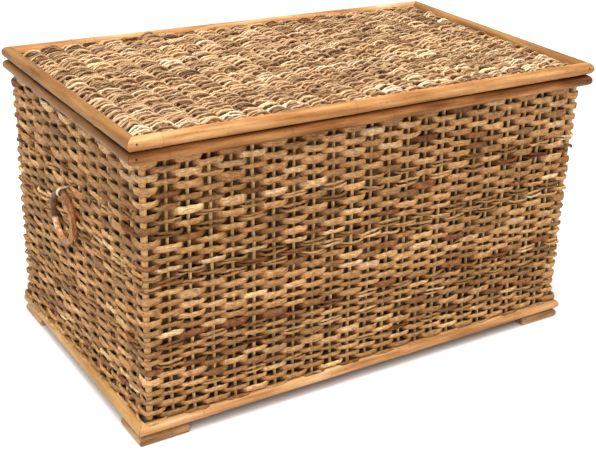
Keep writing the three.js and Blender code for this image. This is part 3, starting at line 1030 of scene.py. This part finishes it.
def make_nails(name, body, spots):
    """Small flat nail heads. One is modelled, and copied to each spot."""
    deselect()
    bpy.ops.mesh.primitive_uv_sphere_add(segments=12, ring_count=7, radius=NAIL_RADIUS)
    first = bpy.context.object
    bpy.ops.object.mode_set(mode="EDIT")
    edit_select(first, lambda co: co.z < -0.2 * MM)
    bpy.ops.transform.resize(value=(0.6, 0.6, 1.0), center_override=(0, 0, 0))
    bpy.ops.object.mode_set(mode="OBJECT")
    first.scale = (1, 1, 0.42)
    bpy.ops.object.transform_apply(location=False, rotation=False, scale=True)
    bpy.ops.object.shade_smooth()
    nails = []
    for point, normal in spots:
        nail = add_object(f"{name}_one", first.data.copy())
        turn = normal.to_track_quat("Z", "Y").to_matrix().to_4x4()
        nail.data.transform(Matrix.Translation(point) @ turn)
        nails.append(nail)
    bpy.data.objects.remove(first)
    deselect()
    for nail in nails:
        nail.select_set(True)
    bpy.context.view_layer.objects.active = nails[0]
    bpy.ops.object.join()
    nails[0].name = nails[0].data.name = name
    settle(nails[0], body, dark_iron)


def nail_spots(stem, tilt):
    """A nail near each end of a frame's long poles, on their outer side, turned up by the tilt."""
    spots = []
    for side, out in (("front", (0, -1)), ("back", (0, 1))):
        low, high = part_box(f"{stem}_{side}")
        centre = (low + high) / 2
        radius = (high.z - low.z) / 2
        normal = Vector((out[0] * math.cos(tilt), out[1] * math.cos(tilt), math.sin(tilt)))
        for end in (-1, 1):
            shift = end * ((high.x - low.x) / 2 - rng.uniform(11, 14) * MM)
            spots.append((centre + Vector((shift, 0, 0)) + normal * (radius - 0.1 * MM), normal))
    return spots


# -------- ring handles

RING_FIRST, RING_LAST = 318, 753  # degrees, seen from outside, anticlockwise from the right
RING_STEPS = 146
RING_SCARF = 75  # degrees over which the rod's two slanting ends lie against each other
RING_TINTS = (
    (318, 0.97), (323, 0.95), (326, 0.55), (400, 0.56), (450, 0.42), (480, 0.3), (558, 0.32),
    (563, 1.0), (574, 0.94), (590, 0.84), (622, 0.8), (655, 0.62), (720, 0.68), (753, 0.66),
)


def ring_pivot(name):
    joint = next(joint for joint in frame["joints"] if joint["name"] == f"ring_swing_{name}")
    return Vector(joint["pos_m"])


def make_ring(name, sign):
    """A dark rod bent round to a ring, its two ends cut on a long slant and laid together."""
    pivot = ring_pivot(name)
    ring_size = size(f"ring_handle_{name}")
    rod = ring_size.x / 2
    radius = ring_size.z / 2 - rod
    mesh = Strands(18, 1.0)
    rows = []
    for degrees in np.linspace(RING_FIRST, RING_LAST, RING_STEPS):
        early = min(1.0, (degrees - RING_FIRST) / RING_SCARF)
        late = min(1.0, (RING_LAST - degrees) / RING_SCARF)
        thick = rod * (0.3 + 0.7 * min(early, late)) * (1 + 0.03 * math.sin(degrees * 0.11))
        out = (1.12 * rod - thick) * (1 if late < early else -1) if min(early, late) < 1 else 0.0
        angle = math.radians(degrees)
        x, z = radius * math.cos(angle), radius * (math.sin(angle) - 1)
        point = pivot + Vector((sign * out, sign * x, z))
        tint = np.interp(degrees, *zip(*RING_TINTS))
        rows.append((*point, thick, rod * 0.98, 0, tint, 1.0))
    mesh.add(np.array(rows), (1, 0, 0))
    mesh.piece(f"ring_{name}_rod", f"ring_{name}", "dark_rattan", red_rod, [f"ring_handle_{name}"])


def make_loop(name, sign):
    """Two turns of peel that hold the ring's rod to the wall, one broad and one narrow."""
    pivot = ring_pivot(name)
    low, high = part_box(f"handle_loop_{name}")
    radius = (high.z - low.z) / 2 - 1.2 * MM
    wall = abs(high.x if sign < 0 else low.x)
    leg = abs(pivot.x) - wall + 5 * MM
    mesh = Strands(10, 0.7)
    for shift, half_width, half_depth in ((-1.3 * MM, 2.3 * MM, 1.1 * MM), (2.4 * MM, 1.3 * MM, 1.0 * MM)):
        path = [(-leg, radius * 1.05), (-leg * 0.5, radius * 1.03)]
        for step in range(9):
            angle = math.pi / 2 - step * math.pi / 8
            path.append((radius * math.cos(angle), radius * math.sin(angle)))
        path += [(-leg * 0.5, -radius * 0.9), (-leg, -radius * 0.8)]
        rows = [
            (pivot.x + sign * out, pivot.y + shift, pivot.z + up, half_width, half_depth, 0, 0.8, 1.0)
            for out, up in path
        ]
        mesh.add(smooth_line(np.array(rows), steps=5), (0, 1, 0), start=shift * 100)
    mesh.piece(f"loop_{name}_peel", "trunk", "peel", cream_peel, [f"handle_loop_{name}"])


# -------- stray fibres

def make_fibres():
    """A few split fibres that stand off the weave."""
    mesh = Strands(5, 1.0)
    for side in SIDES:
        for _ in range(9 if side[4] == FRONT_STAKES else 6):
            share, z = rng.uniform(0.06, 0.94), rng.uniform(WALL_LOW + 0.04, WALL_HIGH - 0.04)
            normal = outward(side[2])
            start = on_wall(side, share, z) + normal * 5 * MM
            length = rng.uniform(14, 34) * MM
            slant, curl = rng.uniform(-1.2, 1.2), rng.uniform(-0.5, 0.5)
            lift = rng.uniform(3, 8) * MM
            tint = rng.uniform(0.7, 1.0)
            rows = []
            for step in range(6):
                t = step / 5
                angle = slant + curl * t * 2
                point = start + side[2] * (length * t * math.cos(angle))
                point = point + normal * lift * math.sin(math.pi * t * 0.8)
                point = point + Vector((0, 0, length * t * math.sin(angle)))
                thick = (0.55 - 0.3 * t) * MM
                rows.append((*point, thick, thick, 0, tint, 1.0))
            mesh.add(smooth_line(np.array(rows)), (0, 0, 1), start=share)
    mesh.piece("stray_fibres", "trunk", "wicker", wicker)


# -------- CAD nodes that stay

def finish_frame_nodes():
    """The inner rails, the cross pieces and the hinges keep their CAD shape."""
    for name, node in frame["nodes"].items():
        stem = name.rsplit("_", 1)[0]
        if "rail" in name:
            finish = frame_wood[0 if name.endswith(("front", "back")) else 1]
        elif stem in ("floor_bearer", "lid_batten"):
            finish = frame_wood[1]
        elif name.startswith("hinge"):
            finish = steel
        else:
            continue
        node.data.materials.clear()
        node.data.materials.append(finish)


# -------- stage

CAMERA_PLACE = Vector((-1.01002, -1.59793, 1.03275))
CAMERA_YAW = math.radians(34.8385)
CAMERA_PITCH = math.radians(24.8194)
CAMERA_ROLL = math.radians(2.8435)
CAMERA_LENS = 68.007
CAMERA_SHIFT = (-0.07545, 0.02337)


def make_camera():
    data = bpy.data.cameras.new("camera")
    camera = add_object("camera", data)
    yaw = Matrix.Rotation(-CAMERA_YAW, 4, "Z")
    pitch = Matrix.Rotation(math.pi / 2 - CAMERA_PITCH, 4, "X")
    roll = Matrix.Rotation(CAMERA_ROLL, 4, "Z")
    camera.matrix_world = Matrix.Translation(CAMERA_PLACE) @ yaw @ pitch @ roll
    data.lens = CAMERA_LENS
    data.sensor_width = 36
    data.shift_x, data.shift_y = CAMERA_SHIFT
    bpy.context.scene.camera = camera


def make_light(name, kind, power, place, direction):
    data = bpy.data.lights.new(name, kind)
    data.energy = power
    light = add_object(name, data)
    light.location = place
    light.rotation_euler = direction.to_track_quat("-Z", "Y").to_euler()
    return data


def area_light(name, place, target, extent, power):
    data = make_light(name, "AREA", power, place, Vector(target) - Vector(place))
    data.shape = "RECTANGLE"
    data.size, data.size_y = extent


def make_stage():
    bpy.ops.mesh.primitive_plane_add(size=160, location=(0, 0, -0.3 * MM))
    floor = bpy.context.object
    floor.name = "pale_floor"
    paint = Finish("pale_floor")
    floor.data.materials.append(paint.done((0.93, 0.93, 0.93, 1), 0.8))
    world = bpy.data.worlds.new("studio")
    world.use_nodes = True
    background = world.node_tree.nodes["Background"]
    background.inputs["Color"].default_value = (1, 1, 1, 1)
    background.inputs["Strength"].default_value = 0.45
    bpy.context.scene.world = world
    sky = make_light("sky", "SUN", 2.0, (0, 0, 0), Vector((0.28, 0.3, -1)))
    sky.angle = math.radians(60)
    area_light("overhead", (-0.3, -0.2, 2.6), (0, 0, 0.3), (2.0, 1.6), 66)
    area_light("front_left", (-2.2, -2.4, 1.8), (0, 0, 0.25), (1.4, 1.4), 18)
    bpy.context.scene.view_settings.view_transform = "Standard"


make_camera()
make_stage()
make_walls()
make_wall_stakes()
make_lid_weave()
make_floor_weave()
make_poles()
make_feet()
make_posts()
make_nails("lid_nails", "lid", nail_spots("lid_pole", math.radians(12)))
make_nails("rim_nails", "trunk", nail_spots("rim_pole", math.radians(10)))
for ring_side, ring_sign in (("left", -1), ("right", 1)):
    make_ring(ring_side, ring_sign)
    make_loop(ring_side, ring_sign)
make_fibres()
finish_frame_nodes()
